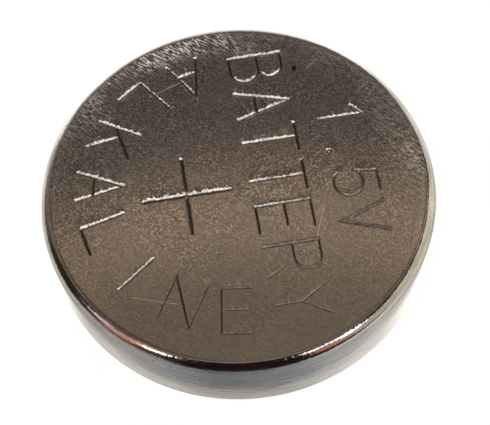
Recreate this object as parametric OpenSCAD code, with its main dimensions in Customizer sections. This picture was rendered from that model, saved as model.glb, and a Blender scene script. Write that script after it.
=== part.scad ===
// Alkaline button cell, lying on its negative cap with the positive can's face up.
// Millimetres. The origin is the centre of the negative terminal's flat, and +Z is the cell's axis.
// Every piece but the polarity mark is round, so each one is an outline in (radius, height) turned about Z.

/* [Cell] */
// Outside diameter of the can
cell_d = 11.6; // [11.2:0.05:12]
// Height over both terminals
cell_h = 3.05; // [2.95:0.05:3.6]

/* [Positive can] */
// Thickness of the can's nickel-plated steel strip
can_t = 0.25; // [0.2:0.01:0.3]
// Outside radius of the drawn edge between the face and the wall
face_edge_r = 0.35; // [0.32:0.01:0.5]
// Outside radius of the bend where the wall is crimped over the gasket
crimp_r = 0.55; // [0.5:0.01:0.62]
// Angle that the wall is bent inwards at the crimp, in degrees
crimp_angle = 65; // [60:1:72]
// Straight length of the lip beyond the bend
lip_len = 0.5; // [0.4:0.02:0.54]
// Height of the lip's lowest edge above the negative terminal
lip_z = 0.2; // [0.14:0.01:0.26]

/* [Negative cap] */
// Thickness of the cap's clad strip
cap_t = 0.18; // [0.15:0.01:0.2]
// Width of the recess between the gasket and the raised terminal
recess_w = 0.35; // [0.25:0.01:0.6]
// Outside radius of the terminal's edge
terminal_edge_r = 0.25; // [0.22:0.01:0.35]
// Height of the shoulder's underside above the terminal
shoulder_z = 0.62; // [0.6:0.01:0.68]
// Outside radius of the hollow between the terminal's wall and the shoulder
hollow_r = 0.1; // [0.06:0.01:0.14]
// Outside radius of the bend between the shoulder and the skirt
skirt_bend_r = 0.22; // [0.21:0.01:0.24]
// Gap between the two walls of the folded skirt
fold_gap = 0.06; // [0.04:0.01:0.08]
// Height of the folded wall's free edge above the end of the skirt's bend
fold_edge_lift = 0.05; // [0.02:0.01:0.12]

/* [Sealing gasket] */
// Thickness of the gasket between the can and the skirt
gasket_t = 0.3; // [0.26:0.01:0.32]
// Thickness of the gasket's foot, between the skirt and the separator
foot_t = 0.3; // [0.22:0.01:0.36]
// Distance that the foot reaches inwards past the skirt
foot_reach = 0.15; // [0.08:0.01:0.3]
// Width of the gasket that shows between the can's lip and the cap
gasket_show = 0.12; // [0.08:0.01:0.16]

/* [Contents] */
// Height of the pressed cathode pellet
pellet_h = 0.95; // [0.8:0.01:1]
// Thickness of the separator film
separator_t = 0.1; // [0.05:0.01:0.14]
// Gap between the separator's rim and the can
separator_gap = 0.05; // [0.02:0.01:0.2]
// Thickness of the absorbent pad
absorbent_t = 0.3; // [0.2:0.01:0.4]

/* [Polarity mark] */
// Length of each bar of the cross
cross_size = 2.5; // [2:0.1:3]
// Width of the stamped groove at the face
groove_w = 0.13; // [0.08:0.01:0.2]
// Depth of the stamped groove
groove_depth = 0.05; // [0.03:0.01:0.1]
// Place of the cross's centre to the left of the axis
cross_left = 1.5; // [1.2:0.1:2.4]
// Place of the cross's centre in front of the axis
cross_front = 0.15; // [0:0.05:1]

/* [Hidden] */
$fn = 128;
arc_step = 7.5; // degrees between the points of a rounded corner

// Can
can_r = cell_d / 2;
bore_r = can_r - can_t;
lip_drop = crimp_r * sin(crimp_angle) + lip_len * cos(crimp_angle);
crimp_c = [can_r - crimp_r, lip_z + lip_drop]; // centre of the crimp's bend
face_edge_c = [can_r - face_edge_r, cell_h - face_edge_r];

// Stack inside the can, from the face downwards
pellet_top = cell_h - can_t;
pellet_bottom = pellet_top - pellet_h;
pellet_edge = face_edge_r - can_t; // bevel that clears the can's inner corner
separator_bottom = pellet_bottom - separator_t;
skirt_top = separator_bottom - foot_t;
absorbent_bottom = separator_bottom - absorbent_t;

// Cap
nose_x = lip_edge(can_t).x - gasket_show;    // innermost point of the gasket that shows
terminal_r = nose_x - recess_w;
terminal_edge_c = [terminal_r - terminal_edge_r, terminal_edge_r];
hollow_c = [terminal_r + hollow_r, shoulder_z - hollow_r];
skirt_r = bore_r - gasket_t;                 // outside of the folded wall
skirt_wall_r = skirt_r - cap_t - fold_gap;   // outside of the skirt's inner wall
skirt_bend_c = [skirt_wall_r - skirt_bend_r, shoulder_z + skirt_bend_r];
fold_c = [skirt_wall_r + fold_gap / 2, skirt_top - cap_t - fold_gap / 2];
fold_edge_z = skirt_bend_c.y + fold_edge_lift;

// Gasket
foot_r = skirt_wall_r - cap_t - foot_reach;

// Points of an arc about c, from angle a0 to a1 in degrees
function arc(c, r, a0, a1) =
    let (steps = max(1, ceil(abs(a1 - a0) / arc_step)))
    [for (i = [0:steps]) let (a = a0 + (a1 - a0) * i / steps) c + r * [cos(a), sin(a)]];

function reverse(points) = [for (i = [len(points) - 1:-1:0]) points[i]];

// The edge of the can's lip, k inside the outer surface
function lip_edge(k) =
    crimp_c + (crimp_r - k) * [cos(crimp_angle), -sin(crimp_angle)]
            - lip_len * [sin(crimp_angle), cos(crimp_angle)];

// The crimped part of the can, k inside the outer surface
function crimp_side(k) = concat(arc(crimp_c, crimp_r - k, 0, -crimp_angle), [lip_edge(k)]);

// The can's surface from the middle of the face to the lip, k inside the outer surface
function can_side(k) =
    concat([[0, cell_h - k]], arc(face_edge_c, face_edge_r - k, 90, 0), crimp_side(k));

// The cap's terminal and shoulder, k inside the outer surface
function cap_floor(k) =
    concat([[0, k]],
           arc(terminal_edge_c, terminal_edge_r - k, -90, 0),
           arc(hollow_c, hollow_r + k, 180, 90),
           arc(skirt_bend_c, skirt_bend_r - k, -90, 0));

// The whole strip of the cap, with the skirt folded outwards and down
function cap_side(k) =
    concat(cap_floor(k),
           arc(fold_c, fold_gap / 2 + k, 180, 0),
           [[skirt_wall_r + fold_gap + k, fold_edge_z]]);

module turned(outline) {
    rotate_extrude() polygon(outline);
}

module disc(r, z0, z1) {
    translate([0, 0, z0]) cylinder(r = r, h = z1 - z0);
}

// One V-shaped groove of the cross, along X
module groove() {
    rotate([90, 0, 90])
        linear_extrude(cross_size, center = true)
            polygon([[0, -groove_depth], [groove_w, groove_depth], [-groove_w, groove_depth]]);
}

module polarity_cross() {
    translate([-cross_left, -cross_front, cell_h]) {
        groove();
        rotate(90) groove();
    }
}

// Drawn steel cup: positive terminal, with the cross stamped in its face
module positive_can() {
    color("#8f8a82") difference() {
        turned(concat(can_side(0), reverse(can_side(can_t))));
        polarity_cross();
    }
}

// Pressed manganese dioxide and graphite
module cathode_pellet() {
    color("#1f1f21")
        turned([[0, pellet_bottom],
                [bore_r - pellet_edge, pellet_bottom], [bore_r, pellet_bottom + pellet_edge],
                [bore_r, pellet_top - pellet_edge], [bore_r - pellet_edge, pellet_top],
                [0, pellet_top]]);
}

// Membrane that the gasket's foot clamps against the pellet
module separator_film() {
    color("#d9cfa8") disc(bore_r - separator_gap, separator_bottom, pellet_bottom);
}

// Non-woven fibre disc inside the gasket's foot
module absorbent_pad() {
    color("#e6e2d6") disc(foot_r, absorbent_bottom, separator_bottom);
}

// Zinc gel that fills the cap up to the pad and the gasket's foot
module anode_gel() {
    color("#7d838a")
        turned(concat(cap_floor(cap_t),
                      [[skirt_wall_r - cap_t, skirt_top],
                       [foot_r, skirt_top], [foot_r, absorbent_bottom], [0, absorbent_bottom]]));
}

// Nylon ring squeezed between the can and the cap. It follows the bore and the crimp on its outside,
// rounds the lip's edge with a nose that shows, and follows the shoulder and the folded skirt inside.
module sealing_gasket() {
    lip_middle = (lip_edge(0) + lip_edge(can_t)) / 2;
    nose_r = min(shoulder_z - lip_middle.y, gasket_show) / 2;
    color("#e9e4d2")
        turned(concat([[foot_r, separator_bottom], [bore_r, separator_bottom]],
                      crimp_side(can_t),
                      [lip_middle],
                      arc([nose_x, lip_middle.y] + [nose_r, nose_r], nose_r, -90, -180),
                      [[nose_x, shoulder_z]],
                      arc(skirt_bend_c, skirt_bend_r, -90, 0),
                      [[skirt_wall_r, fold_edge_z], [skirt_r, fold_edge_z]],
                      arc(fold_c, fold_gap / 2 + cap_t, 0, 90),
                      [[foot_r, skirt_top]]));
}

// Drawn clad-strip cup: negative terminal
module negative_cap() {
    color("#b3aea4") turned(concat(cap_side(0), reverse(cap_side(cap_t))));
}

positive_can();
cathode_pellet();
separator_film();
absorbent_pad();
anode_gel();
sealing_gasket();
negative_cap();
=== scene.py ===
# Alkaline button cell: its looks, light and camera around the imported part.
# The cell lies on its negative cap, and +Z comes out of the positive can's face.
import math

import bmesh
import bpy
from mathutils import Matrix, Vector
from mathutils.geometry import delaunay_2d_cdt


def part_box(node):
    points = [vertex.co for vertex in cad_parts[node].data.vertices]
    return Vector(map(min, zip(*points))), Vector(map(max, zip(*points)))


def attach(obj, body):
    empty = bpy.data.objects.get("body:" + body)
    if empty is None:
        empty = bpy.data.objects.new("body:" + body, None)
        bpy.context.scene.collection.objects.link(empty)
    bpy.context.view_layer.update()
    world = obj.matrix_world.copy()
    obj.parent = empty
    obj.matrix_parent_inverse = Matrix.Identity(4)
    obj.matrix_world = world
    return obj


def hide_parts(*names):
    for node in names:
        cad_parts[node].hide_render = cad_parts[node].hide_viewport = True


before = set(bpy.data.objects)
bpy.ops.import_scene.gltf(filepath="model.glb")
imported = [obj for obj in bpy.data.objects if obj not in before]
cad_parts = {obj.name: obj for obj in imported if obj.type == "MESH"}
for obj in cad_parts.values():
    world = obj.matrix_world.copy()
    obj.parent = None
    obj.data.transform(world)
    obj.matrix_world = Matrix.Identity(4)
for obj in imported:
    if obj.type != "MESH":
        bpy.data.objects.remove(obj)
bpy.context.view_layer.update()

# ---- Camera ------------------------------------------------------------------------------
# A close view from in front and above, turned a little round the cell and about its own axis.
# The shift is a few pixels, for the framing.
MM = 0.001  # metres in a millimetre
view_from = math.radians(-4.5)       # round the cell, from -Y
view_elevation = math.radians(61.32)
view_roll = math.radians(4.97)
view_distance = 33.31 * MM
look_at = Vector((0, 0, 1.5 * MM))

camera = bpy.data.objects.new("camera", bpy.data.cameras.new("camera"))
bpy.context.scene.collection.objects.link(camera)
bpy.context.scene.camera = camera
bpy.context.scene.view_settings.view_transform = "Standard"
camera.data.sensor_width = 36
camera.data.lens = 80.36
camera.data.shift_x = 0.0120
camera.data.shift_y = -0.0071
camera.data.clip_start = 1 * MM
camera.data.clip_end = 2
turn = (Matrix.Rotation(view_from, 4, "Z")
        @ Matrix.Rotation(math.pi / 2 - view_elevation, 4, "X")
        @ Matrix.Rotation(-view_roll, 4, "Z"))
camera.matrix_world = Matrix.Translation(look_at) @ turn @ Matrix.Translation((0, 0, view_distance))


# ---- Floor, lamps and surroundings ---------------------------------------------------------
# A white table with a large soft lamp behind it. Round it stands a tent that the metal shows:
# a dim ceiling, a black card in front, a pale screen at the right and a few small windows.
def put(tree, kind, inputs=(), **settings):
    """Adds a node, and links or sets each of its inputs."""
    made = tree.nodes.new(kind)
    for name, value in settings.items():
        setattr(made, name, value)
    for key, value in dict(inputs).items():
        if isinstance(value, bpy.types.NodeSocket):
            tree.links.new(value, made.inputs[key])
        else:
            made.inputs[key].default_value = value
    return made


def ramp(tree, value, low, high, to_low=0.0, to_high=1.0):
    """A smooth step of a value from one level to another."""
    return put(tree, "ShaderNodeMapRange",
               {"Value": value, "From Min": low, "From Max": high,
                "To Min": to_low, "To Max": to_high},
               interpolation_type="SMOOTHSTEP").outputs["Result"]


def maths(tree, operation, value, *others):
    """A value after the operation with each of the others in turn."""
    for other in others or (0.0,):
        value = put(tree, "ShaderNodeMath", {0: value, 1: other}, operation=operation).outputs[0]
    return value


def scaled(tree, value, by, plus=0.0):
    """A value times a number, plus another."""
    return put(tree, "ShaderNodeMath", {0: value, 1: by, 2: plus},
               operation="MULTIPLY_ADD").outputs[0]


def vectors(tree, operation, *places):
    """The outcome of an operation on places, as a place or a value."""
    made = put(tree, "ShaderNodeVectorMath", dict(enumerate(places)), operation=operation)
    gives_value = operation in ("DOT_PRODUCT", "LENGTH", "DISTANCE")
    return made.outputs["Value" if gives_value else "Vector"]


def parts_of(tree, place):
    """The X, Y and Z of a place."""
    return put(tree, "ShaderNodeSeparateXYZ", {0: place}).outputs


def mixed(tree, share, a, b):
    """A colour between a and b."""
    return put(tree, "ShaderNodeMix", {0: share, 6: a, 7: b}, data_type="RGBA").outputs[2]


world = bpy.data.worlds.new("light_tent")
bpy.context.scene.world = world
world.use_nodes = True
tent = world.node_tree
tent.nodes.clear()
toward = parts_of(tent, put(tent, "ShaderNodeTexCoord").outputs["Generated"])
elevation = maths(tent, "DEGREES", maths(tent, "ARCSINE", toward["Z"]))
# 0 in front, 90 at the right, 180 behind and -90 at the left
bearing = maths(tent, "DEGREES", maths(tent, "ARCTAN2", toward["X"], scaled(tent, toward["Y"], -1.0)))


def panel(under, colour, bearings, elevations, soft):
    """A panel of the tent over the colour under it, with soft edges, in degrees."""
    half = (bearings[1] - bearings[0]) / 2
    aside = maths(tent, "PINGPONG", maths(tent, "SUBTRACT", bearing, sum(bearings) / 2), 180)
    share = maths(tent, "MULTIPLY", ramp(tent, aside, half + soft[0], half - soft[0]),
                  ramp(tent, elevation, elevations[0] - soft[1], elevations[0] + soft[1]),
                  ramp(tent, elevation, elevations[1] + soft[1], elevations[1] - soft[1]))
    return mixed(tent, share, under, (*colour, 1))


# Each panel's colour, bearings, elevations and soft edges, from the first one laid to the last
ALL_ROUND = (-200, 200)
tent_colour = (0.035, 0.027, 0.022, 1)
for panel_values in (
        # Pale ground and dim ceiling
        ((0.55, 0.55, 0.55), ALL_ROUND, (-100, -3), (6, 2)),
        ((0.15, 0.13, 0.11), ALL_ROUND, (48, 100), (6, 6)),
        # Behind, a grey wall on a pale strip with brighter ends, and a warm beam in the ceiling
        ((0.16, 0.14, 0.125), (105, 255), (4, 48), (10, 8)),
        ((0.95, 0.93, 0.90), (120, 240), (-4, 6), (10, 4)),
        ((1.9, 1.82, 1.72), (-156, -142), (-5, 4), (4, 3)),
        ((1.9, 1.82, 1.72), (132, 148), (-5, 4), (4, 3)),
        ((0.190, 0.166, 0.155), (130, 230), (40, 57), (14, 3)),
        ((1.22, 0.985, 0.80), (135, 199), (60.5, 62.8), (14, 1.2)),
        ((0.34, 0.30, 0.25), (135, 199), (65.5, 84), (14, 2)),
        # Grey screens at the left, two of them behind
        ((0.52, 0.47, 0.42), (-168, -134), (4, 27), (10, 7)),
        ((0.30, 0.26, 0.23), (-150, -124), (45, 61), (5, 4)),
        ((0.45, 0.36, 0.31), (-82, -38), (1, 10), (6, 4)),
        # Pale screen at the right, lower towards the back, with a dark edge above it
        ((0.03, 0.022, 0.018), (60, 98), (50, 66), (6, 3)),
        ((0.03, 0.022, 0.018), (96, 112), (42, 55), (5, 3)),
        ((0.03, 0.022, 0.018), (112, 131), (30, 43), (5, 3)),
        ((0.79, 0.69, 0.50), (56, 100), (-6, 46), (8, 4)),
        ((0.97, 0.85, 0.63), (92, 116), (-6, 42), (5, 4)),
        ((0.84, 0.74, 0.62), (116, 140), (-6, 28), (5, 4)),
        ((0.62, 0.54, 0.47), (40, 66), (12, 46), (4, 6)),
        # Black card in front, which reaches round to the left
        ((0.020, 0.008, 0.007), (-48, 36), (18, 88), (5, 3)),
        ((0.040, 0.025, 0.018), (-115, -86), (14, 53), (8, 5)),
        ((0.13, 0.10, 0.09), (-78, -44), (20, 40), (8, 6)),
        # Two windows at the left and two at the right, with a copper-coloured blind at each side
        ((1.0, 0.93, 0.90), (-87, -77), (33, 51), (2, 3)),
        ((5.5, 5.1, 4.9), (-59, -51), (43, 60), (3, 3)),
        ((0.90, 0.42, 0.30), (-75, -60), (21, 72), (3, 4)),
        ((3.2, 3.0, 2.9), (26, 36), (52, 64), (3, 3)),
        ((4.6, 4.3, 4.15), (42, 55), (44, 64), (2, 3)),
        ((0.70, 0.30, 0.20), (24, 40), (24, 50), (4, 4))):
    tent_colour = panel(tent_colour, *panel_values)
rays = put(tent, "ShaderNodeLightPath")
tent_colour = mixed(tent, rays.outputs["Is Camera Ray"], tent_colour, (1, 1, 1, 1))
put(tent, "ShaderNodeOutputWorld",
    {0: put(tent, "ShaderNodeBackground", {0: tent_colour, 1: 1.0}).outputs[0]})

# The table is open under the cell, so that the cell's underside can be looked at from below.
floor_half = 400 * MM
floor_hole = 4.9 * MM
floor_sides = 64
floor_ring = []
for r in (floor_hole, floor_half):
    floor_ring += [(r * math.cos(t), r * math.sin(t), 0)
                   for t in (2 * math.pi * i / floor_sides for i in range(floor_sides))]
floor_mesh = bpy.data.meshes.new("floor")
floor_mesh.from_pydata(floor_ring, [], [
    (i, floor_sides + i, floor_sides + (i + 1) % floor_sides, (i + 1) % floor_sides)
    for i in range(floor_sides)])
floor = bpy.data.objects.new("floor", floor_mesh)
bpy.context.scene.collection.objects.link(floor)
floor_paint = bpy.data.materials.new("floor_paint")
floor_paint.use_nodes = True
paint = floor_paint.node_tree
paint.nodes.clear()
lit = put(paint, "ShaderNodeBsdfDiffuse", {"Color": (0.9, 0.9, 0.9, 1)})
place = put(paint, "ShaderNodeTexCoord").outputs["Object"]
from_axis = vectors(paint, "LENGTH", place)
outwards = vectors(paint, "NORMALIZE", place)
across = parts_of(paint, outwards)
# The metal sees the table through painted light in its emission: bright, most of all behind the cell
# at both sides
brightest = maths(paint, "ADD", scaled(paint, across["X"], 0.10),
                  ramp(paint, across["Y"], 0.0, 0.5, 0.82, 1.0))
behind = maths(paint, "MULTIPLY", ramp(paint, across["Y"], 0.70, 0.80),
               ramp(paint, maths(paint, "ABSOLUTE", across["X"]), 0.1, 0.55),
               scaled(paint, across["X"], -0.3, 0.65))
brightest = maths(paint, "ADD", brightest, behind)
# A painted shadow makes it dim in front, where the cell's shadow falls, and less so beside the cell
to_shadow = vectors(paint, "DOT_PRODUCT", outwards, (-0.21, -0.98, 0))
painted_shadow_reach = maths(paint, "MULTIPLY", ramp(paint, across["Y"], -0.95, 0.05),
            scaled(paint, across["X"], 0.2, 0.8),
            ramp(paint, from_axis, 10 * MM, 7.3 * MM, 0.6, 1.0))
level = scaled(paint, maths(paint, "ADD", to_shadow, painted_shadow_reach), -1.77, 2.0)
level = maths(paint, "MINIMUM", level, brightest)
slope = maths(paint, "MULTIPLY", across["X"],
              ramp(paint, from_axis, 8 * MM, 16 * MM, -0.22, 0.06))
level = maths(paint, "MULTIPLY", level, scaled(paint, slope, 1.0, 1.0))
# Close to the foot, a painted glow stands for light that comes in under the bent lip
painted_foot_glow = ramp(paint, from_axis, 6.48 * MM, 6.12 * MM)
painted_side_glow = maths(paint, "MULTIPLY", ramp(paint, from_axis, 6.28 * MM, 6.08 * MM),
                ramp(paint, to_shadow, 0.65, 0.25))
level = maths(paint, "ADD", level, scaled(paint, painted_foot_glow, 0.35), scaled(paint, painted_side_glow, 0.7))
# The tint is warm far out, paler near the cell and neutral in the painted shadow
tint = mixed(paint, ramp(paint, from_axis, 9 * MM, 6.8 * MM),
             (1.0, 0.885, 0.775, 1), (1.0, 0.95, 0.89, 1))
tint = mixed(paint, ramp(paint, to_shadow, 0.6, 0.95), tint, (0.99, 1.0, 1.0, 1))
tint = mixed(paint, painted_foot_glow, tint, (1.0, 0.93, 0.85, 1))
rays = put(paint, "ShaderNodeLightPath")
in_metal = put(paint, "ShaderNodeEmission", {"Color": tint, "Strength": level})
glow = put(paint, "ShaderNodeEmission", {"Color": (1, 1, 1, 1), "Strength": 1.0})
share = scaled(paint, rays.outputs["Is Camera Ray"], 0.93)
white = put(paint, "ShaderNodeMixShader", {0: share, 1: lit.outputs[0], 2: glow.outputs[0]})
white = put(paint, "ShaderNodeMixShader",
            {0: rays.outputs["Is Glossy Ray"], 1: white.outputs[0], 2: in_metal.outputs[0]})
from_below = put(paint, "ShaderNodeNewGeometry").outputs["Backfacing"]
clear = put(paint, "ShaderNodeBsdfTransparent")
put(paint, "ShaderNodeOutputMaterial",
    {0: put(paint, "ShaderNodeMixShader",
            {0: from_below, 1: white.outputs[0], 2: clear.outputs[0]}).outputs[0]})
floor_mesh.materials.append(floor_paint)

# The large lamp lights the table and what isn't metal, and a smaller one in front lights the
# sides of the stamped marks that carry a painted highlight. The metal shows neither.
for name, at, size, energy in (("table_lamp", (13, 62, 49), 70, 0.05),
                               ("front_lamp", (-12, -30, 52), 30, 0.035)):
    light = bpy.data.lights.new(name, "AREA")
    light.size = size * MM
    light.energy = energy
    lamp = bpy.data.objects.new(name, light)
    bpy.context.scene.collection.objects.link(lamp)
    lamp_at = Vector(at) * MM
    lamp.matrix_world = (Matrix.Translation(lamp_at)
                         @ lamp_at.to_track_quat("Z", "Y").to_matrix().to_4x4())
    lamp.visible_glossy = False
    lamp.visible_camera = False

# ---- Positive can --------------------------------------------------------------------------
# A cup drawn from nickel-plated steel strip: a flat face, a rounded edge and a straight wall,
# whose mouth is bent inwards over the gasket. It is one strip of even thickness throughout.
can_low, can_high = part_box("positive_can")
can_r = can_high.x / MM
cell_h = can_high.z / MM
lip_z = can_low.z / MM
can_t = 0.25
face_edge_r = 0.35
crimp_r = 0.55
crimp_angle = 65
lip_len = 0.5
lip_corner = 0.04
bore_r = can_r - can_t
face_r = can_r - face_edge_r
turn_steps = 360


def arc(centre, r, start, end, step=6):
    """Points of an arc in the section's plane, from one angle to another in degrees."""
    steps = max(1, math.ceil(abs(end - start) / step))
    angles = [math.radians(start + (end - start) * i / steps) for i in range(steps + 1)]
    return [(centre[0] + r * math.cos(a), centre[1] + r * math.sin(a)) for a in angles]


crimp = math.radians(crimp_angle)
crimp_c = (can_r - crimp_r, lip_z + crimp_r * math.sin(crimp) + lip_len * math.cos(crimp))


def on_lip(depth, back=0.0):
    """A point in the can's lip: depth below its outer surface, and back from its edge."""
    return (crimp_c[0] + (crimp_r - depth) * math.cos(crimp) - (lip_len - back) * math.sin(crimp),
            crimp_c[1] - (crimp_r - depth) * math.sin(crimp) - (lip_len - back) * math.cos(crimp))


can_section = (
    arc((face_r, cell_h - face_edge_r), face_edge_r, 90, 0)
    + arc(crimp_c, crimp_r, 0, -crimp_angle)
    + arc(on_lip(lip_corner, lip_corner), lip_corner, -crimp_angle, -crimp_angle - 90, 30)
    + arc(on_lip(can_t - lip_corner, lip_corner), lip_corner, -crimp_angle - 90,
          -crimp_angle - 180, 30))
can_inside = (
    arc(crimp_c, crimp_r - can_t, -crimp_angle, 0)
    + arc((face_r, cell_h - face_edge_r), face_edge_r - can_t, 0, 90, 15)
    + [(0, cell_h - can_t)])


def new_tree(name, kind, inputs, outputs):
    """A node tree with named inputs and outputs."""
    tree = bpy.data.node_groups.new(name, kind)
    for way, sockets in (("INPUT", inputs), ("OUTPUT", outputs)):
        for socket, holds in sockets.items():
            tree.interface.new_socket(socket, in_out=way, socket_type="NodeSocket" + holds)
    return tree, tree.nodes.new("NodeGroupInput").outputs


def end_in_finish(tree, geometry, finish):
    """Ends a geometry node tree, with all instances made real and the finish set."""
    real = put(tree, "GeometryNodeRealizeInstances", {0: geometry})
    coated = put(tree, "GeometryNodeSetMaterial", {"Geometry": real.outputs[0], "Material": finish})
    put(tree, "NodeGroupOutput", {0: coated.outputs[0]})
    return tree


def turning_tree():
    """Geometry nodes that turn an outline in the XZ plane about Z and weld it where it meets."""
    tree, given = new_tree("turned", "GeometryNodeTree",
                           {"Outline": "Geometry", "Steps": "Int", "Finish": "Material"},
                           {"Solid": "Geometry"})
    path_r = 1 * MM
    laid = put(tree, "GeometryNodeTransform",
               {"Geometry": given["Outline"], "Rotation": (math.pi / 2, 0, 0),
                "Translation": (-path_r, 0, 0)})
    section = put(tree, "GeometryNodeMeshToCurve", {"Mesh": laid.outputs[0]})
    path = put(tree, "GeometryNodeCurvePrimitiveCircle",
               {"Resolution": given["Steps"], "Radius": path_r}, mode="RADIUS")
    solid = put(tree, "GeometryNodeCurveToMesh",
                {"Curve": path.outputs[0], "Profile Curve": section.outputs[0]})
    welded = put(tree, "GeometryNodeMergeByDistance",
                 {"Geometry": solid.outputs[0], "Distance": 0.00001 * MM})
    return end_in_finish(tree, welded.outputs[0], given["Finish"])


turning = turning_tree()


def add_tree(piece, tree, **inputs):
    """Puts a geometry node tree on a piece, with its named inputs set."""
    modifier = piece.modifiers.new(tree.name, "NODES")
    modifier.node_group = tree
    for socket in tree.interface.items_tree:
        if socket.name in inputs:
            modifier[socket.identifier] = inputs[socket.name]
    return modifier


def made_plain(piece):
    """The piece's evaluated mesh, with no modifier left on it."""
    shown = piece.evaluated_get(bpy.context.evaluated_depsgraph_get())
    mesh = bpy.data.meshes.new_from_object(shown)
    mesh.name = piece.name
    piece.modifiers.clear()
    piece.data = mesh
    return piece


def turned(name, outline, finish, closed=False, inside=()):
    """A piece turned from an outline of (radius, height) in millimetres, then of its inside."""
    shape = list(outline) + list(inside)
    count = len(shape)
    edges = [(i, (i + 1) % count) for i in range(count if closed else count - 1)]
    mesh = bpy.data.meshes.new(name)
    mesh.from_pydata([(r * MM, 0, z * MM) for r, z in shape], edges, [])
    inner = mesh.attributes.new("inner", "FLOAT", "POINT")
    inner.data.foreach_set("value", [float(i >= len(outline)) for i in range(count)])
    piece = bpy.data.objects.new(name, mesh)
    bpy.context.scene.collection.objects.link(piece)
    add_tree(piece, turning, Steps=turn_steps, Finish=finish)
    return made_plain(piece)


def smooth(piece, sharp_angle=35):
    """Welds the mesh, turns its faces outwards and smooths all but its sharp edges."""
    form = bmesh.new()
    form.from_mesh(piece.data)
    bmesh.ops.remove_doubles(form, verts=form.verts, dist=0.00005 * MM)
    bmesh.ops.dissolve_degenerate(form, edges=form.edges, dist=0.00001 * MM)
    bmesh.ops.recalc_face_normals(form, faces=form.faces)
    form.to_mesh(piece.data)
    form.free()
    piece.data.shade_smooth()
    piece.data.set_sharp_from_angle(angle=math.radians(sharp_angle))


# ---- Stamped marks -------------------------------------------------------------------------
# The cross of the positive pole and plain words, pressed into the face by a punch of thin
# lines. The punch leaves V-shaped grooves with a slight burr at both sides.
def bow(cx, cy, rx, ry, start, end, steps=12):
    """Points of a letter's round stroke, in the letter's unit cell."""
    angles = [math.radians(start + (end - start) * i / steps) for i in range(steps + 1)]
    return [(cx + rx * math.cos(a), cy + ry * math.sin(a)) for a in angles]


# Each letter's strokes in a cell that is 1 wide and 1 high
LETTERS = {
    "A": [[(0, 0), (0.5, 1), (1, 0)], [(0.18, 0.36), (0.82, 0.36)]],
    "B": [[(0, 0), (0, 1)], [(0, 1)] + bow(0.5, 0.77, 0.38, 0.23, 90, -90) + [(0, 0.54)],
          bow(0.52, 0.27, 0.45, 0.27, 90, -90) + [(0, 0)]],
    "E": [[(0.9, 1), (0, 1), (0, 0), (0.9, 0)], [(0, 0.52), (0.75, 0.52)]],
    "I": [[(0.5, 0), (0.5, 1)]],
    "K": [[(0, 0), (0, 1)], [(0.92, 1), (0, 0.38)], [(0.3, 0.58), (1, 0)]],
    "L": [[(0.05, 1), (0.05, 0), (0.95, 0)]],
    "N": [[(0, 0), (0, 1), (1, 0), (1, 1)]],
    "R": [[(0, 0), (0, 1)], [(0, 1)] + bow(0.5, 0.76, 0.4, 0.24, 90, -90) + [(0, 0.52)],
          [(0.5, 0.52), (1, 0)]],
    "T": [[(0, 1), (1, 1)], [(0.5, 1), (0.5, 0)]],
    "V": [[(0, 1), (0.5, 0), (1, 1)]],
    "Y": [[(0, 1), (0.5, 0.5), (1, 1)], [(0.5, 0.5), (0.5, 0)]],
    "1": [[(0.2, 0.78), (0.55, 1), (0.55, 0)]],
    "5": [[(0.85, 1), (0.15, 1), (0.08, 0.56)] + bow(0.44, 0.33, 0.48, 0.33, 140, -140, 16)],
    ".": [bow(0.5, 0.05, 0.06, 0.05, 0, 360, 8)],
}


def placed(letter, foot, across, up, width, height):
    """A letter's strokes on the face, in millimetres from the foot of its left side."""
    return [[(foot[0] + x * width * across[0] + y * height * up[0],
              foot[1] + x * width * across[1] + y * height * up[1]) for x, y in stroke]
            for stroke in LETTERS[letter]]


def column(word, x, top, pitch, width, height):
    """A word that reads towards -Y, with its letters' tops towards +X."""
    strokes = []
    for i, letter in enumerate(word):
        strokes += placed(letter, (x, top - i * pitch), (0, -1), (1, 0), width, height)
    return strokes


def round_word(word, foot_r, start, end, width, height):
    """A word along the rim, with its letters' tops towards the middle of the face."""
    strokes = []
    for i, letter in enumerate(word):
        angle = math.radians(start + (end - start) * i / (len(word) - 1))
        across = (-math.sin(angle), math.cos(angle))
        up = (-math.cos(angle), -math.sin(angle))
        foot = (-foot_r * up[0] - width / 2 * across[0], -foot_r * up[1] - width / 2 * across[1])
        strokes += placed(letter, foot, across, up, width, height)
    return strokes


cross_at = (-1.5, -0.15)
cross_half = 1.25
upright_gap = 0.06  # from the bar's middle to each half of the upright
bar = [[(cross_at[0] - cross_half, cross_at[1]), (cross_at[0] + cross_half, cross_at[1])]]
upright = [[(cross_at[0], cross_at[1] + way * end) for end in (upright_gap, cross_half)]
           for way in (-1, 1)]
words = (column("BATTERY", x=0.4, top=4.45, pitch=1.33, width=0.95, height=1.6)
         + round_word("ALKALINE", foot_r=4.7, start=103, end=262, width=0.95, height=1.35))
voltage = column("1.5V", x=2.78, top=2.3, pitch=1.2, width=0.95, height=1.3)
# Each mark's strokes, their width and depth, the share of the width that a stroke from front to
# back is slimmer by, and the spacing of the face's points along them
marks = ((bar, 0.165, 0.044, 0, 0.025), (upright, 0.11, 0.036, 0.22, 0.025),
         (words, 0.108, 0.034, 0.34, 0.03), (voltage, 0.09, 0.026, 0.2, 0.03))


def stroke_net(name, strokes):
    """The strokes' centre lines as an object of edges, which isn't shown."""
    points, edges = [], []
    for stroke in strokes:
        first = len(points)
        points += [(x * MM, y * MM, cell_h * MM) for x, y in stroke]
        edges += [(first + i, first + i + 1) for i in range(len(stroke) - 1)]
    mesh = bpy.data.meshes.new(name)
    mesh.from_pydata(points, edges, [])
    return bpy.data.objects.new(name, mesh)


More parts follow.
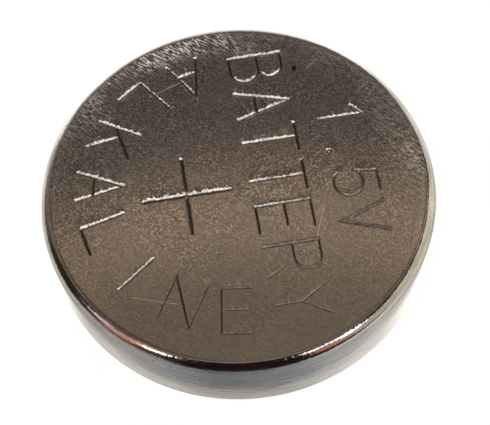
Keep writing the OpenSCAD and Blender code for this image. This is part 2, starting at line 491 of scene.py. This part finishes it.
def rows_beside(strokes, offsets, spacing):
    """Points in rows along each stroke and round its ends, at each offset in turn."""
    points = []
    for offset in offsets:
        for stroke in strokes:
            for a, b in zip(stroke, stroke[1:]):
                run = Vector(b) - Vector(a)
                side = Vector((-run.y, run.x)).normalized() * offset
                steps = max(1, round(run.length / spacing))
                for i in range(steps + 1):
                    middle = Vector(a) + run * i / steps
                    points += [middle + side, middle - side]
            for end in (stroke[0], stroke[-1]):
                points += [Vector(end) + offset * Vector((math.cos(t), math.sin(t)))
                           for t in (math.radians(30 * i) for i in range(12))]
    return points


def spaced(points, gap):
    """The points in their order, without those closer than gap to an earlier one."""
    kept, cells = [], {}
    for p in points:
        column_row = (int(p[0] // gap), int(p[1] // gap))
        near = [q for i in (-1, 0, 1) for j in (-1, 0, 1)
                for q in cells.get((column_row[0] + i, column_row[1] + j), ())]
        if all((p[0] - q[0]) ** 2 + (p[1] - q[1]) ** 2 >= gap * gap for q in near):
            cells.setdefault(column_row, []).append(p)
            kept.append(p)
    return kept


row_places = (0, 0.5, 0.25, 0.62, 0.38, 0.13, 0.8, 1.1)  # in groove widths from the middle
point_gap = 0.011   # least distance between the points near the marks
open_step = 0.2     # between the points away from the marks
rim_margin = 0.08   # which those keep from the rim
ring_inset = 0.015
rim = [Vector((face_r * math.cos(t), face_r * math.sin(t)))
       for t in (2 * math.pi * i / turn_steps for i in range(turn_steps))]
# A ring just inside the rim keeps the face's shading flat up to the rounded edge
ring = [p * (1 - ring_inset / face_r) for p in rim]
near_marks = []
for strokes, width, depth, slimmer, spacing in marks:
    near_marks += rows_beside(strokes, [width * k for k in row_places], spacing)
face_points = spaced(near_marks, point_gap)
taken = {(round(p[0] / open_step), round(p[1] / open_step)) for p in face_points}
across_rows = int(face_r / open_step) + 1
row_height = 0.866 * open_step
up_rows = int(face_r / row_height) + 1
open_face = [Vector(((i + 0.5 * (j % 2)) * open_step, j * row_height))
             for i in range(-across_rows, across_rows + 1) for j in range(-up_rows, up_rows + 1)]
face_points += [p for p in open_face if p.length < face_r - rim_margin
                and (round(p[0] / open_step), round(p[1] / open_step)) not in taken]
points, _, faces, *_ = delaunay_2d_cdt(rim + ring + face_points, [], [], 0, 1e-6)
face_mesh = bpy.data.meshes.new("stamped_face")
face_mesh.from_pydata([(p[0] * MM, p[1] * MM, cell_h * MM) for p in points], [], faces)


def punching_tree():
    """Geometry nodes that press a net of strokes into a face as grooves with burred sides."""
    tree, given = new_tree(
        "punched", "GeometryNodeTree",
        {"Face": "Geometry", "Strokes": "Object", "Width": "Float", "Slimmer": "Float",
         "Depth": "Float", "Burr": "Float", "Top": "Float", "Finish": "Material"},
        {"Face": "Geometry"})
    net = put(tree, "GeometryNodeObjectInfo", {"Object": given["Strokes"]})
    near = put(tree, "GeometryNodeProximity", {0: net.outputs["Geometry"]}, target_element="EDGES")
    # The sides are ragged, as the punch chattered
    chatter = put(tree, "ShaderNodeTexNoise", {"Scale": 14 / MM, "Detail": 2.0})
    ragged = put(tree, "ShaderNodeMapRange",
                 {"Value": chatter.outputs[0], "From Min": 0.3, "From Max": 0.7,
                  "To Min": 0.5, "To Max": 1.4}).outputs[0]
    # The punch struck from in front, so the side behind a stroke is the wider one
    here = put(tree, "GeometryNodeInputPosition").outputs[0]
    away = vectors(tree, "NORMALIZE", vectors(tree, "SUBTRACT", here, near.outputs["Position"]))
    behind = parts_of(tree, away)["Y"]
    ragged = maths(tree, "MULTIPLY", ragged, scaled(tree, behind, 0.45, 1.0))
    # A stroke that runs from front to back is slimmer by a share of its width
    slimmer = maths(tree, "MULTIPLY", given["Slimmer"],
                    ramp(tree, maths(tree, "ABSOLUTE", behind), 0.8, 0.2))
    ragged = maths(tree, "MULTIPLY", ragged, scaled(tree, slimmer, -1.0, 1.0))
    # It was held a little askew, and struck lightest in front at the right
    struck = ramp(tree, vectors(tree, "DOT_PRODUCT", here, (-0.35, 1, 0)),
                  -4.0 * MM, 1.5 * MM, 0.6, 1.1)
    reach = maths(tree, "DIVIDE", near.outputs["Distance"],
                  maths(tree, "MULTIPLY", given["Width"], struck, ragged))
    pressed = put(tree, "ShaderNodeFloatCurve", {"Value": reach})
    side_curve = pressed.mapping.curves[0]
    side_curve.points[0].location = (0, 0)
    side_curve.points[1].location = (1, 0.9)
    for at, rise in ((0.08, 0.03), (0.48, 0.88), (0.56, 1.0), (0.68, 0.97), (0.85, 0.9)):
        side_curve.points.new(at, rise)
    pressed.mapping.extend = "HORIZONTAL"
    pressed.mapping.update()
    deepest = scaled(tree, maths(tree, "MULTIPLY", given["Depth"], struck), -1.0)
    groove = put(tree, "ShaderNodeMapRange",
                 {"Value": pressed.outputs[0], "From Min": 0, "From Max": 0.9,
                  "To Min": deepest, "To Max": 0}, clamp=False).outputs[0]
    burr = maths(tree, "MULTIPLY", given["Burr"], ramp(tree, pressed.outputs[0], 0.9, 1.0))
    height = maths(tree, "ADD", maths(tree, "MINIMUM", groove, 0.0), burr)
    to_top = maths(tree, "SUBTRACT", given["Top"], parts_of(tree, here)["Z"])
    height = maths(tree, "MINIMUM", height, to_top)
    moved = put(tree, "GeometryNodeSetPosition",
                {"Geometry": given["Face"],
                 "Offset": put(tree, "ShaderNodeCombineXYZ", {2: height}).outputs[0]})
    # What is pressed, and the side behind that the finish gives a painted highlight, are kept for the
    # finish
    mark = ramp(tree, reach, 0.62, 0.5)
    torn = maths(tree, "MULTIPLY", ramp(tree, behind, 0.2, 0.6), ramp(tree, reach, 0.58, 0.46))
    kept = moved
    for name, value in (("mark", mark), ("torn", torn)):
        before = put(tree, "GeometryNodeInputNamedAttribute", {"Name": name}, data_type="FLOAT")
        kept = put(tree, "GeometryNodeStoreNamedAttribute",
                   {"Geometry": kept.outputs[0], "Name": name,
                    "Value": maths(tree, "MAXIMUM", before.outputs["Attribute"], value)},
                   data_type="FLOAT", domain="POINT")
    return end_in_finish(tree, kept.outputs[0], given["Finish"])


# ---- The can's finish ----------------------------------------------------------------------
# Dull nickel plate on steel. The face keeps the grain of the strip and the rubbing of parts
# against each other, while edge and wall were polished as the cup was drawn. Inside, the plate
# has a coat of graphite.
brown_plate = (0.365, 0.318, 0.268, 1)
grey_plate = (0.31, 0.288, 0.272, 1)
light_fleck = (0.66, 0.60, 0.53, 1)
dark_fleck = (0.16, 0.14, 0.125, 1)
scratched_plate = (1.0, 0.93, 0.84, 1)
worn_plate = (0.80, 0.73, 0.66, 1)
painted_pit_shade = (0.05, 0.04, 0.035, 1)
blue_streak = (0.475, 0.488, 0.495, 1)
pale_streak = (0.71, 0.705, 0.69, 1)
wall_fleck = (0.36, 0.35, 0.34, 1)
wall_speck = (0.09, 0.07, 0.06, 1)
painted_highlight_plate = (0.97, 0.93, 0.87, 1)
groove_painted_shade = (0.16, 0.135, 0.115, 1)
groove_bottom_painted_shade = (0.09, 0.07, 0.055, 1)
graphite_coat = (0.06, 0.06, 0.063, 1)


def grouped(tree, group, **inputs):
    """A group placed in a material, with its own values."""
    return put(tree, "ShaderNodeGroup", inputs, node_tree=group).outputs


def noise(tree, place, scale, detail=2.0):
    """Noise from 0 to 1, with about so many waves in a millimetre."""
    return put(tree, "ShaderNodeTexNoise",
               {"Vector": place, "Scale": scale, "Detail": detail}).outputs[0]


def stretched(tree, place, angle, scale):
    """A place turned about Z, then scaled along each axis."""
    across = put(tree, "ShaderNodeVectorRotate", {"Vector": place, "Angle": angle},
                 rotation_type="Z_AXIS").outputs[0]
    return vectors(tree, "MULTIPLY", across, scale)


def scratch_group():
    """Short scratches along one direction."""
    group, given = new_tree("scratches", "ShaderNodeTree",
                            {"Place": "Vector", "Angle": "Float", "Length": "Float",
                             "Spacing": "Float", "Bare": "Float"}, {"Scratches": "Float"})
    scale = put(group, "ShaderNodeCombineXYZ",
                {0: maths(group, "DIVIDE", 1.0, given["Length"]),
                 1: maths(group, "DIVIDE", 1.0, given["Spacing"]), 2: 1.0}).outputs[0]
    lines = noise(group, stretched(group, given["Place"], given["Angle"], scale), 1.0, 1.0)
    put(group, "NodeGroupOutput",
        {0: ramp(group, lines, given["Bare"], maths(group, "ADD", given["Bare"], 0.12))})
    return group


def fleck_group():
    """Fine flecks, some lighter and some darker than what they lie in."""
    group, given = new_tree("flecks", "ShaderNodeTree", {"Place": "Vector", "Fineness": "Float"},
                            {"Light": "Float", "Dark": "Float"})
    coarse = noise(group, given["Place"], given["Fineness"], 1.0)
    fine = noise(group, given["Place"], scaled(group, given["Fineness"], 2.1), 0.0)
    both = scaled(group, maths(group, "ADD", coarse, fine), 0.5)
    put(group, "NodeGroupOutput",
        {0: ramp(group, both, 0.52, 0.62), 1: ramp(group, both, 0.49, 0.38)})
    return group


def new_finish(name):
    """A material without nodes, its tree, and the place on the object in millimetres."""
    made = bpy.data.materials.new(name)
    made.use_nodes = True
    tree = made.node_tree
    tree.nodes.clear()
    place = put(tree, "ShaderNodeVectorMath",
                {0: put(tree, "ShaderNodeTexCoord").outputs["Object"], "Scale": 1 / MM},
                operation="SCALE").outputs[0]
    return made, tree, place


def attribute(tree, name):
    """A value that the mesh holds at its points."""
    return put(tree, "ShaderNodeAttribute", attribute_name=name).outputs["Fac"]


def value_mix(tree, share, a, b):
    """A number between a and b."""
    return put(tree, "ShaderNodeMix", {0: share, 2: a, 3: b}).outputs[0]


def round_places(tree, place):
    """A place's parts, the place brought down to the table, and its distance from the axis."""
    parts = parts_of(tree, place)
    level_place = put(tree, "ShaderNodeCombineXYZ", {0: parts[0], 1: parts[1]}).outputs[0]
    return parts, level_place, vectors(tree, "LENGTH", level_place)


def finished(made, tree, colour, roughness, bump, **settings):
    """Ends a material's tree in the shader of its surface."""
    shader = put(tree, "ShaderNodeBsdfPrincipled",
                 {"Base Color": colour, "Roughness": roughness, "Normal": bump, **settings})
    put(tree, "ShaderNodeOutputMaterial", {0: shader.outputs[0]})
    return made


def bumped(tree, height, distance):
    """The normal of a surface with a height, whose unit is a distance in millimetres."""
    return put(tree, "ShaderNodeBump",
               {"Height": height, "Distance": distance * MM, "Strength": 1.0}).outputs[0]


scratching = scratch_group()
flecking = fleck_group()


def line_mark(tree, place, start, end, width):
    """1 along a thin straight line on the face, and 0 a width away from it."""
    run = Vector((end[0] - start[0], end[1] - start[1], 0))
    away = vectors(tree, "SUBTRACT", place, (*start, 0))
    along = vectors(tree, "DOT_PRODUCT", away, tuple(run / run.length_squared))
    along = put(tree, "ShaderNodeClamp", {0: along}).outputs[0]
    nearest = put(tree, "ShaderNodeVectorMath", {0: tuple(run), "Scale": along},
                  operation="SCALE").outputs[0]
    distance = vectors(tree, "DISTANCE", away, nearest)
    return ramp(tree, distance, width, 0.4 * width)


def can_steel():
    """Plate that is dull on the face, polished at edge and wall, and coated inside."""
    made, tree, place = new_finish("can_steel")
    parts, level_place, radius = round_places(tree, place)
    on_face = maths(tree, "MULTIPLY", ramp(tree, radius, face_r + 0.10, face_r + 0.05),
                    ramp(tree, parts[2], cell_h - 0.17, cell_h - 0.10))
    mark = attribute(tree, "mark")

    # Face: brown in front and greyer behind, a painted sheen, over random clouds of tone, with fine
    # flecks
    cloud = noise(tree, place, 0.35, 3.0)
    warm_tone_and_painted_sheen = maths(tree, "ADD", ramp(tree, cloud, 0.36, 0.64, -0.3, 0.3),
                 ramp(tree, parts[1], 2.5, -1.0))
    colour = mixed(tree, put(tree, "ShaderNodeClamp", {0: warm_tone_and_painted_sheen}).outputs[0],
                   grey_plate, brown_plate)
    flecks = grouped(tree, flecking, Place=place, Fineness=14.0)
    patchy = maths(tree, "MULTIPLY", ramp(tree, noise(tree, place, 0.8), 0.35, 0.62, 0.4, 0.85),
                   ramp(tree, parts[1], -4.2, 0.5, 0.3, 1.0))
    colour = mixed(tree, maths(tree, "MULTIPLY", flecks["Light"], patchy), colour, light_fleck)
    colour = mixed(tree, maths(tree, "MULTIPLY", flecks["Dark"], patchy), colour, dark_fleck)

    # Slanting scratches, in a band along the rim behind that is densest at the left and sparse
    # behind at the right
    hatches = [grouped(tree, scratching, Place=place, Angle=math.radians(angle), Length=length,
                       Spacing=spacing, Bare=bare)[0]
               for angle, length, spacing, bare in ((47, 0.24, 0.045, 0.50), (38, 0.4, 0.038, 0.56))]
    towards_back = vectors(tree, "DOT_PRODUCT", level_place, (0.35, 0.94, 0))
    sparse = vectors(tree, "DOT_PRODUCT", level_place, (0.69, 0.724, 0))
    band = maths(tree, "MULTIPLY", ramp(tree, radius, 4.3, 5.4), ramp(tree, towards_back, -0.5, 2.5),
                 ramp(tree, sparse, 3.8, 4.8, 1.0, 0.35))
    dense = maths(tree, "MULTIPLY", ramp(tree, parts[0], 1.6, 0.0), ramp(tree, radius, 4.7, 5.1),
                  ramp(tree, towards_back, 1.8, 3.2, 0.0, 0.5))
    near_rim = maths(tree, "MULTIPLY", maths(tree, "ADD", band, dense),
                     ramp(tree, noise(tree, place, 1.1), 0.25, 0.55, 0.2, 1.1))
    rubbed = maths(tree, "MULTIPLY", maths(tree, "MAXIMUM", *hatches),
                   scaled(tree, near_rim, 0.75, 0.06))
    # Four longer scratches
    for start, end, width in (
            ((-2.16, 3.50), (-1.12, 3.88), 0.035), ((2.75, 3.7), (3.1, 3.95), 0.045),
            ((1.9, -2.3), (2.35, -1.2), 0.022), ((-3.4, -3.1), (-2.2, -3.5), 0.02)):
        line = line_mark(tree, level_place, start, end, width)
        rubbed = maths(tree, "MAXIMUM", rubbed, scaled(tree, line, 0.4))
    face_colour = mixed(tree, rubbed, colour, scratched_plate)
    # The edge of the face is worn behind, and one deep pit shows as a black spot of painted shade
    worn = maths(tree, "MULTIPLY", ramp(tree, radius, face_r - 0.2, face_r),
                 ramp(tree, towards_back, -2.5, 0.5, 0.0, 0.2))
    face_colour = mixed(tree, worn, face_colour, worn_plate)
    pit = line_mark(tree, level_place, (2.36, 3.73), (2.38, 3.79), 0.095)
    face_colour = mixed(tree, pit, face_colour, painted_pit_shade)

    # Wall: wavy drawing streaks round the cup, blue-grey and pale, and a few dark specks
    waves = noise(tree, place, 1.3)
    high = put(tree, "ShaderNodeCombineXYZ", {2: scaled(tree, waves, 0.4)}).outputs[0]
    wavy = vectors(tree, "ADD", place, high)
    streaks = noise(tree, stretched(tree, wavy, 0.0, (0.7, 0.7, 8.0)), 1.0, 5.0)
    blotches = noise(tree, stretched(tree, place, 0.0, (1.1, 1.1, 2.0)), 1.0, 3.0)
    streaks = maths(tree, "ADD", scaled(tree, streaks, 0.6), scaled(tree, blotches, 0.4))
    wall_colour = mixed(tree, ramp(tree, streaks, 0.34, 0.66), blue_streak, pale_streak)
    wall_flecks = grouped(tree, flecking, Place=place, Fineness=9.0)
    wall_colour = mixed(tree, scaled(tree, wall_flecks["Dark"], 0.3), wall_colour, wall_fleck)
    specks = ramp(tree, noise(tree, stretched(tree, place, 0.0, (7.0, 7.0, 3.5)), 1.0, 1.0),
                  0.75, 0.79)
    wall_colour = mixed(tree, specks, wall_colour, wall_speck)
    colour = mixed(tree, on_face, wall_colour, face_colour)

    # Stamped marks: the sides behind get a painted highlight, strongest at the left and behind,
    # and the other sides a painted shade, with more painted shade at the bottom
    towards_left = vectors(tree, "DOT_PRODUCT", level_place, (-0.4, 1, 0))
    bright = maths(tree, "MULTIPLY", attribute(tree, "torn"),
                   ramp(tree, towards_left, -3.4, 0.4, 0.36, 1.0),
                   ramp(tree, noise(tree, place, 17.0), 0.34, 0.56, 0.5, 1.0))
    mark_colour = mixed(tree, bright, groove_painted_shade, painted_highlight_plate)
    colour = mixed(tree, mark, colour, mark_colour)
    # Painted shade darkens the bottom of the deepest grooves
    bottom = maths(tree, "MULTIPLY", mark,
                   ramp(tree, parts[2], cell_h - 0.038, cell_h - 0.043))
    colour = mixed(tree, bottom, colour, groove_bottom_painted_shade)

    # The coat inside, then the roughness and the height of all of it
    inner = attribute(tree, "inner")
    colour = mixed(tree, inner, colour, graphite_coat)
    roughness = value_mix(tree, on_face, 0.11, 0.13)
    roughness = value_mix(tree, mark, roughness, 0.42)
    roughness = value_mix(tree, inner, roughness, 0.6)
    scratched = maths(tree, "MULTIPLY", rubbed, on_face)
    face_height = maths(tree, "ADD", maths(tree, "MULTIPLY", noise(tree, place, 26.0), on_face, 0.35),
                        maths(tree, "MULTIPLY", noise(tree, place, 11.0, 1.0), mark, 3.0),
                        scaled(tree, scratched, -0.6))
    wall_grain = maths(tree, "ADD", scaled(tree, streaks, 2.0),
                       scaled(tree, noise(tree, place, 8.0), 1.2))
    height = maths(tree, "ADD", face_height, maths(
        tree, "MULTIPLY", wall_grain, scaled(tree, on_face, -1.0, 1.0)))
    # The sides with a painted highlight and what is scraped scatter light instead of showing what
    # stands around
    dull = maths(tree, "MAXIMUM", maths(tree, "MULTIPLY", mark, bright),
                 scaled(tree, scratched, 0.45))
    return finished(made, tree, colour, roughness, bumped(tree, height, 0.004),
                    Metallic=ramp(tree, dull, 0, 1, 1.0, 0.4))


can_finish = can_steel()
burr_h = 0.003
burr_rise = 0.3  # from the rim inwards, the face sinks by the burr's height to make room for it
stamped_face = bpy.data.objects.new("stamped_face", face_mesh)
bpy.context.scene.collection.objects.link(stamped_face)
for v in face_mesh.vertices:
    v.co.z -= burr_h * MM * min(1, (face_r - v.co.xy.length / MM) / burr_rise)
punching = punching_tree()
nets = []
for strokes, width, depth, slimmer, _ in marks:
    nets.append(stroke_net("strokes", strokes))
    add_tree(stamped_face, punching, Strokes=nets[-1], Width=width * MM, Slimmer=slimmer,
             Depth=depth * MM, Burr=burr_h * MM, Top=cell_h * MM, Finish=can_finish)
made_plain(stamped_face)
for net in nets:
    bpy.data.objects.remove(net)

can = turned("can_shell", can_section, can_finish, inside=can_inside)
form = bmesh.new()
form.from_mesh(can.data)
form.from_mesh(stamped_face.data)
form.to_mesh(can.data)
form.free()
smooth(can)
bpy.data.objects.remove(stamped_face)
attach(can, "root")
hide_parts("positive_can")

# ---- Sealing gasket ------------------------------------------------------------------------
# A moulded nylon ring that keeps can and cap apart. The crimp squeezes it: it fills the gap
# between them, rounds the lip's edge and shows as a pale ring on the underside.
gasket_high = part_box("sealing_gasket")[1]
cap_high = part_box("negative_cap")[1]
gasket_show = 0.12
foot_top = gasket_high.z / MM
skirt_r = cap_high.x / MM
skirt_top = cap_high.z / MM
cap_t = 0.18
fold_gap = 0.06
shoulder_z = 0.62
skirt_bend_r = 0.22
fold_edge_lift = 0.05
foot_reach = 0.15
fold_edge_z = shoulder_z + skirt_bend_r + fold_edge_lift
skirt_wall_r = skirt_r - cap_t - fold_gap
skirt_bend_c = (skirt_wall_r - skirt_bend_r, shoulder_z + skirt_bend_r)
fold_c = (skirt_wall_r + fold_gap / 2, skirt_top - cap_t - fold_gap / 2)
foot_r = skirt_wall_r - cap_t - foot_reach
nose_x = on_lip(can_t)[0] - gasket_show
lip_middle = [(a + b) / 2 for a, b in zip(on_lip(0), on_lip(can_t))]
nose_r = gasket_show / 2

gasket_section = (
    [(foot_r, foot_top), (bore_r, foot_top)]
    + arc(crimp_c, crimp_r - can_t, 0, -crimp_angle)
    + [on_lip(can_t), tuple(lip_middle)]
    + arc((nose_x + nose_r, lip_middle[1] + nose_r), nose_r, -90, -180, 15)
    + [(nose_x, shoulder_z)]
    + arc(skirt_bend_c, skirt_bend_r, -90, 0)
    + [(skirt_wall_r, fold_edge_z), (skirt_r, fold_edge_z)]
    + arc(fold_c, fold_gap / 2 + cap_t, 0, 90)
    + [(foot_r, skirt_top)])
pale_nylon = (0.80, 0.77, 0.66, 1)
yellow_nylon = (0.70, 0.66, 0.53, 1)
nylon_fleck = (0.45, 0.40, 0.30, 1)


def gasket_nylon():
    """Milky moulded nylon with faint flow clouds and a few caught specks."""
    made, tree, place = new_finish("gasket_nylon")
    cloud = noise(tree, place, 0.9, 4.0)
    colour = mixed(tree, ramp(tree, cloud, 0.35, 0.65), yellow_nylon, pale_nylon)
    flecks = grouped(tree, flecking, Place=place, Fineness=7.0)
    colour = mixed(tree, scaled(tree, flecks["Dark"], 0.25), colour, nylon_fleck)
    flow = noise(tree, stretched(tree, place, 0.0, (2.0, 2.0, 9.0)), 1.0, 3.0)
    return finished(made, tree, colour, value_mix(tree, cloud, 0.32, 0.5),
                    bumped(tree, flow, 0.006),
                    **{"Subsurface Weight": 0.3, "Subsurface Scale": 0.2 * MM})


gasket = turned("gasket_ring", gasket_section, gasket_nylon(), closed=True)
smooth(gasket)
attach(gasket, "root")
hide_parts("sealing_gasket")

# ---- Negative cap --------------------------------------------------------------------------
# A shallow cup drawn from clad strip, nickel outside and copper inside, with its skirt folded
# back outwards. The gasket grips the skirt, and the raised flat is the negative terminal.
recess_w = 0.35
terminal_r = nose_x - recess_w
terminal_edge_r = 0.25
hollow_r = 0.1


def cap_side(depth):
    """The cap's strip from the axis to its free edge, at a depth below its outer surface."""
    return ([(0, depth)]
            + arc((terminal_r - terminal_edge_r, terminal_edge_r), terminal_edge_r - depth, -90, 0)
            + arc((terminal_r + hollow_r, shoulder_z - hollow_r), hollow_r + depth, 180, 90)
            + arc(skirt_bend_c, skirt_bend_r - depth, -90, 0)
            + arc(fold_c, fold_gap / 2 + depth, 180, 0)
            + [(skirt_wall_r + fold_gap + depth, fold_edge_z)])


pale_nickel = (0.70, 0.68, 0.64, 1)
grey_nickel = (0.60, 0.575, 0.54, 1)
nickel_fleck = (0.38, 0.35, 0.31, 1)
brown_stain = (0.34, 0.27, 0.19, 1)
scuffed_nickel = (0.86, 0.85, 0.82, 1)
dull_copper = (0.72, 0.36, 0.22, 1)
bright_copper = (0.80, 0.44, 0.28, 1)


def cap_nickel():
    """Nickel with faint turning rings and contact scuffs on the terminal, and copper inside."""
    made, tree, place = new_finish("cap_strip")
    _, _, radius = round_places(tree, place)
    on_flat = ramp(tree, radius, terminal_r - 0.15, terminal_r - 0.3)
    cloud = ramp(tree, noise(tree, place, 0.6, 4.0), 0.36, 0.64)
    colour = mixed(tree, cloud, grey_nickel, pale_nickel)
    flecks = grouped(tree, flecking, Place=place, Fineness=11.0)
    colour = mixed(tree, scaled(tree, flecks["Dark"], 0.35), colour, nickel_fleck)
    stain = ramp(tree, noise(tree, place, 1.7, 3.0), 0.60, 0.72)
    by_wall = ramp(tree, maths(tree, "ABSOLUTE", maths(tree, "SUBTRACT", radius, terminal_r)),
                   0.5, 0.1)
    stain = maths(tree, "MULTIPLY", stain, scaled(tree, by_wall, 0.5, 0.2))
    colour = mixed(tree, stain, colour, brown_stain)
    scuffs = [grouped(tree, scratching, Place=place, Angle=math.radians(angle), Length=length,
                      Spacing=0.04, Bare=bare)[0]
              for angle, length, bare in ((14, 2.6, 0.60), (-41, 0.8, 0.64), (73, 1.4, 0.63))]
    scuffed = maths(tree, "MULTIPLY", maths(tree, "MAXIMUM", *scuffs), on_flat,
                    ramp(tree, noise(tree, place, 0.7, 3.0), 0.42, 0.6))
    colour = mixed(tree, scaled(tree, scuffed, 0.5), colour, scuffed_nickel)

    inner = attribute(tree, "inner")
    copper = mixed(tree, cloud, dull_copper, bright_copper)
    colour = mixed(tree, inner, colour, copper)
    rings = put(tree, "ShaderNodeCombineXYZ", {0: scaled(tree, radius, 22.0)}).outputs[0]
    height = maths(tree, "ADD", noise(tree, rings, 1.0, 3.0), scaled(tree, scuffed, -0.7),
                   scaled(tree, noise(tree, place, 22.0), 0.6))
    roughness = value_mix(tree, maths(tree, "MAXIMUM", scuffed, stain), 0.17, 0.34)
    return finished(made, tree, colour, roughness, bumped(tree, height, 0.003), Metallic=1.0)


cap = turned("cap_cup", cap_side(0), cap_nickel(), inside=cap_side(cap_t)[::-1])
smooth(cap)
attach(cap, "root")
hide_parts("negative_cap")

# ---- Contents ------------------------------------------------------------------------------
# Pellet, separator, absorbent pad and gel lie sealed between can and cap. Their CAD shapes are
# right, so each of them only gets its finish.
def fibre_group():
    """Fibres that lie in all directions, as a height."""
    group, given = new_tree("fibres", "ShaderNodeTree", {"Place": "Vector", "Spacing": "Float"},
                            {"Height": "Float"})
    layers = [grouped(group, scratching, Place=given["Place"], Angle=math.radians(angle),
                      Length=scaled(group, given["Spacing"], 14.0), Spacing=given["Spacing"],
                      Bare=0.46)[0]
              for angle in (10, 55, 100, 145)]
    put(group, "NodeGroupOutput", {0: maths(group, "MAXIMUM", *layers)})
    return group


fibring = fibre_group()


def content_finish(name, relief_of, colours, depth, roughness, **settings):
    """A finish for one of the contents: two clouded colours, and a third for what stands out."""
    made, tree, place = new_finish(name)
    relief = relief_of(tree, place)
    cloud = ramp(tree, noise(tree, place, 1.2, 4.0), 0.35, 0.65)
    base = mixed(tree, cloud, (*colours[0], 1), (*colours[1], 1))
    base = mixed(tree, scaled(tree, relief, 0.7), base, (*colours[2], 1))
    return finished(made, tree, base, roughness, bumped(tree, relief, depth), **settings)


def powder(tree, place):
    """Pressed grains of graphite."""
    return grouped(tree, flecking, Place=place, Fineness=12.0)["Light"]


def paper(tree, place):
    """Fine fibres of the separator."""
    return grouped(tree, fibring, Place=place, Spacing=0.03)[0]


def felt(tree, place):
    """Coarse fibres of the pad."""
    return grouped(tree, fibring, Place=place, Spacing=0.07)[0]


def zinc_grains(tree, place):
    """Zinc grains that stand out of the gel."""
    grains = put(tree, "ShaderNodeTexVoronoi", {"Vector": place, "Scale": 7.0}).outputs["Distance"]
    return ramp(tree, grains, 0.5, 0.15)


finishes = {
    "cathode_pellet": content_finish(
        "cathode_mix", powder, ((0.022, 0.022, 0.024), (0.035, 0.034, 0.034), (0.11, 0.11, 0.115)),
        depth=0.006, roughness=0.62),
    "separator_film": content_finish(
        "separator", paper, ((0.66, 0.60, 0.42), (0.74, 0.69, 0.50), (0.82, 0.78, 0.62)),
        depth=0.004, roughness=0.7),
    "absorbent_pad": content_finish(
        "absorbent", felt, ((0.66, 0.64, 0.58), (0.76, 0.74, 0.68), (0.88, 0.87, 0.83)),
        depth=0.03, roughness=0.9),
    "anode_gel": content_finish(
        "zinc_gel", zinc_grains, ((0.16, 0.165, 0.17), (0.22, 0.225, 0.23), (0.48, 0.49, 0.50)),
        depth=0.03, roughness=0.35, Metallic=0.6)}
for node, finish in finishes.items():
    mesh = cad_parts[node].data
    mesh.materials.clear()
    mesh.materials.append(finish)
